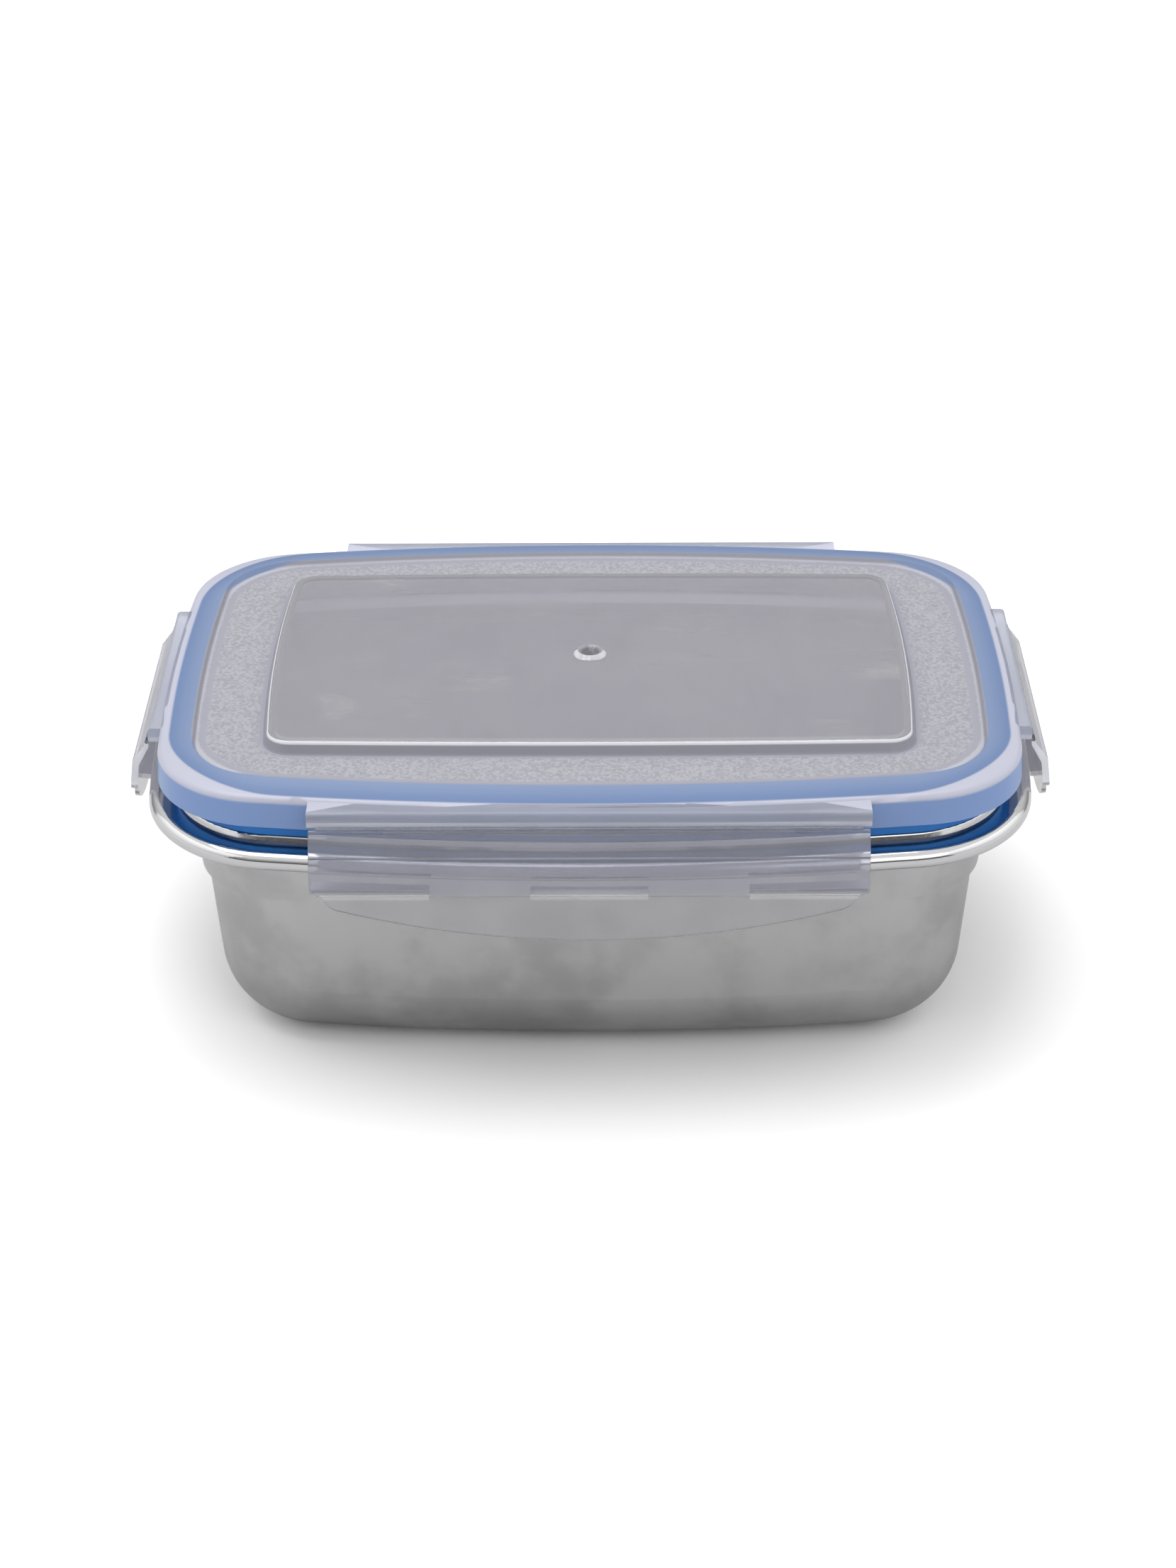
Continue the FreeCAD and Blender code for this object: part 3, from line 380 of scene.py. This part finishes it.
TAB_CLEAR, HOOK_WHITE_AND_HIGHLIGHT = (0.69, 0.69, 0.705), (0.95, 0.95, 0.96)
THICK_PALE, THICK_SMUDGE, THICK_GLOSS = (0.86, 0.86, 0.89), (0.78, 0.78, 0.82), (0.3, 0.4)

clear, tree, skin = shader("clear_latch_plastic")
place = object_place(tree)
split = axes(tree, place)
z = split["Z"]
colour, rough = smudged(tree, place, FLAP_CLEAR, FLAP_SMUDGE, FLAP_GLOSS, scale=60.0)
flap = blend(tree, above(tree, z, FLAP_END, FLAP_BLUR), TAB_CLEAR, colour)
wide = maths(tree, "ABSOLUTE", split["X"])
deep = maths(tree, "ABSOLUTE", split["Y"])
on_side = maths(tree, "GREATER_THAN", wide, SIDE_LATCH_FROM)
on_front = maths(tree, "SUBTRACT", 1.0, on_side)
long_gap = maths(tree, "PINGPONG", wide, LONG_PITCH / 2)
short_gap = maths(tree, "ABSOLUTE", maths(tree, "SUBTRACT", deep, SHORT_PITCH / 2))
on_long = maths(tree, "MULTIPLY", maths(tree, "LESS_THAN", long_gap, LONG_HOOK / 2), on_front)
on_short = maths(tree, "MULTIPLY", maths(tree, "LESS_THAN", short_gap, SHORT_HOOK / 2), on_side)
# pale strips over the hook ribs: painted highlight, partly the thicker, whiter plastic at the ribs'
# roots
from_foot = above(tree, z, HOOK_FOOT, HOOK_BLUR)
height = maths(tree, "MULTIPLY", from_foot, beneath(tree, z, HOOK_ROOT, HOOK_BLUR))
strip = maths(tree, "MULTIPLY", height, maths(tree, "ADD", on_long, on_short))
tree.links.new(blend(tree, strip, flap, HOOK_WHITE_AND_HIGHLIGHT), skin.inputs["Base Color"])
tree.links.new(rough, skin.inputs["Roughness"])
skin.inputs["IOR"].default_value = PLASTIC_IOR
skin.inputs["Transmission Weight"].default_value = 0.86

thick, tree, skin = shader("thick_hook_plastic")
place = object_place(tree)
colour, rough = smudged(tree, place, THICK_PALE, THICK_SMUDGE, THICK_GLOSS, scale=90.0)
tree.links.new(colour, skin.inputs["Base Color"])
tree.links.new(rough, skin.inputs["Roughness"])
skin.inputs["Transmission Weight"].default_value = 0.3

# faces are told apart as if the flap hung shut, turned back about its hinge
for side, spot in HINGE_SPOT.items():
    latch = dress(f"{side}_latch", clear, thick)
    outwards = spot.normalized()
    for face in latch.data.polygons:
        off = face.center.dot(outwards) - spot.length
        rise = face.center.z - HINGE_LEVEL
        shut_off = off * math.cos(REST_SWING) + rise * math.sin(REST_SWING)
        shut_rise = rise * math.cos(REST_SWING) - off * math.sin(REST_SWING)
        hook = shut_off < HOOK_FACE and shut_rise < HOOK_TOP
        end = abs(face.normal.cross(outwards).z) > FACES_END
        face.material_index = int(hook or end)


# Film hinges: the thin webs of the same moulding along which each flap bends, joined to the lid's lands.
# The film is clear, and slightly clouded by use.

FILM_CLEAR, FILM_CLOUD, FILM_GLOSS = (0.52, 0.55, 0.64), (0.60, 0.63, 0.71), (0.08, 0.16)

web, tree, skin = shader("worked_film_plastic")
place = object_place(tree)
colour, rough = smudged(tree, place, FILM_CLEAR, FILM_CLOUD, FILM_GLOSS, scale=140.0)
tree.links.new(colour, skin.inputs["Base Color"])
tree.links.new(rough, skin.inputs["Roughness"])
skin.inputs["Transmission Weight"].default_value = 0.85
for side in HINGE_SPOT:
    dress(f"{side}_hinge", web)


# Studio: a plain pale floor under a wide soft box, in a room that is brighter above than at its horizon.
# The floor lies just under the tray's foot, and is duller in reflections than it looks.

FLOOR_REACH, FLOOR_DROP = 4.0, -0.2 * MM
FLOOR_PALE, FLOOR_MIRRORED = (0.93, 0.93, 0.93), (0.57, 0.57, 0.575)
ROOM_ABOVE, ROOM_LEVEL, ROOM_DIM = (1.0, 1.0, 1.0), (0.28, 0.28, 0.29), (0.05, 0.05, 0.055)
BACKDROP = (0.93, 0.93, 0.93)
CLIMB, DIM_SIDE = (-0.05, 0.75), (-0.8, 0.1)

shape = bmesh.new()
bmesh.ops.create_grid(shape, x_segments=1, y_segments=1, size=FLOOR_REACH)
bmesh.ops.translate(shape, verts=shape.verts, vec=(0, 0, FLOOR_DROP))
mesh = bpy.data.meshes.new("floor")
shape.to_mesh(mesh)
shape.free()
floor = bpy.data.objects.new("floor", mesh)
bpy.context.collection.objects.link(floor)
paper, tree, skin = shader("pale_floor")
mirrored = add(tree, "ShaderNodeLightPath").outputs["Is Glossy Ray"]
tree.links.new(blend(tree, mirrored, FLOOR_PALE, FLOOR_MIRRORED), skin.inputs["Base Color"])
skin.inputs["Roughness"].default_value = 0.9
mesh.materials.append(paper)

room = bpy.data.worlds.new("studio")
room.use_nodes = True
tree = room.node_tree
direction = add(tree, "ShaderNodeTexCoord").outputs["Generated"]
split = axes(tree, direction)
horizon = blend(tree, ramp(tree, split["Y"], *DIM_SIDE), ROOM_DIM, ROOM_LEVEL)
glow = blend(tree, ramp(tree, split["Z"], *CLIMB), horizon, ROOM_ABOVE)
rays = add(tree, "ShaderNodeLightPath").outputs
seen = maths(tree, "MAXIMUM", rays["Is Camera Ray"], rays["Is Transmission Ray"])
tree.links.new(blend(tree, seen, glow, BACKDROP), tree.nodes["Background"].inputs["Color"])
bpy.context.scene.world = room


def soft_box(name, place, target, width, depth, power):
    """A rectangular lamp that faces its target."""
    lamp = bpy.data.lights.new(name, "AREA")
    lamp.shape = "RECTANGLE"
    lamp.size = width
    lamp.size_y = depth
    lamp.energy = power
    held = bpy.data.objects.new(name, lamp)
    held.location = place
    held.rotation_euler = (Vector(target) - Vector(place)).to_track_quat("-Z", "Y").to_euler()
    bpy.context.collection.objects.link(held)


MIDDLE = (0, 0, 0.05)
soft_box("overhead", place=(-0.25, 0.1, 1.5), target=(0, 0, 0), width=1.6, depth=1.2, power=14.0)
soft_box("front_fill", place=(0.7, -1.3, 0.9), target=MIDDLE, width=0.9, depth=0.9, power=3.0)
soft_box("left_side", place=(-0.9, -0.1, 0.35), target=MIDDLE, width=1.5, depth=0.9, power=2.6)
soft_box("right_side", place=(0.9, -0.1, 0.35), target=MIDDLE, width=1.5, depth=0.9, power=2.6)

AIM = Vector((0, 0, 71 * MM))
VIEW_DISTANCE = 0.7387
VIEW_DOWN = math.radians(27.5)
VIEW_TURN = math.radians(0.35)
VIEW_ROLL = math.radians(-0.34)
IMAGE = (1659, 2212)
FOCAL_PIXELS = 4650
AIM_PIXEL = (832.4, 937.3)

lens = bpy.data.cameras.new("camera")
lens.sensor_width = 36.0
lens.lens = FOCAL_PIXELS / IMAGE[1] * lens.sensor_width
lens.shift_x = (IMAGE[0] / 2 - AIM_PIXEL[0]) / IMAGE[1]
lens.shift_y = (AIM_PIXEL[1] - IMAGE[1] / 2) / IMAGE[1]
lens.clip_start = 0.01
camera = bpy.data.objects.new("camera", lens)
turn = Matrix.Rotation(VIEW_TURN, 4, "Z")
tilt = Matrix.Rotation(math.pi / 2 - VIEW_DOWN, 4, "X")
back_off = Matrix.Translation((0, 0, VIEW_DISTANCE))
roll = Matrix.Rotation(VIEW_ROLL, 4, "Z")
camera.matrix_world = Matrix.Translation(AIM) @ turn @ tilt @ back_off @ roll
bpy.context.collection.objects.link(camera)
bpy.context.scene.camera = camera
bpy.context.scene.view_settings.view_transform = "Standard"
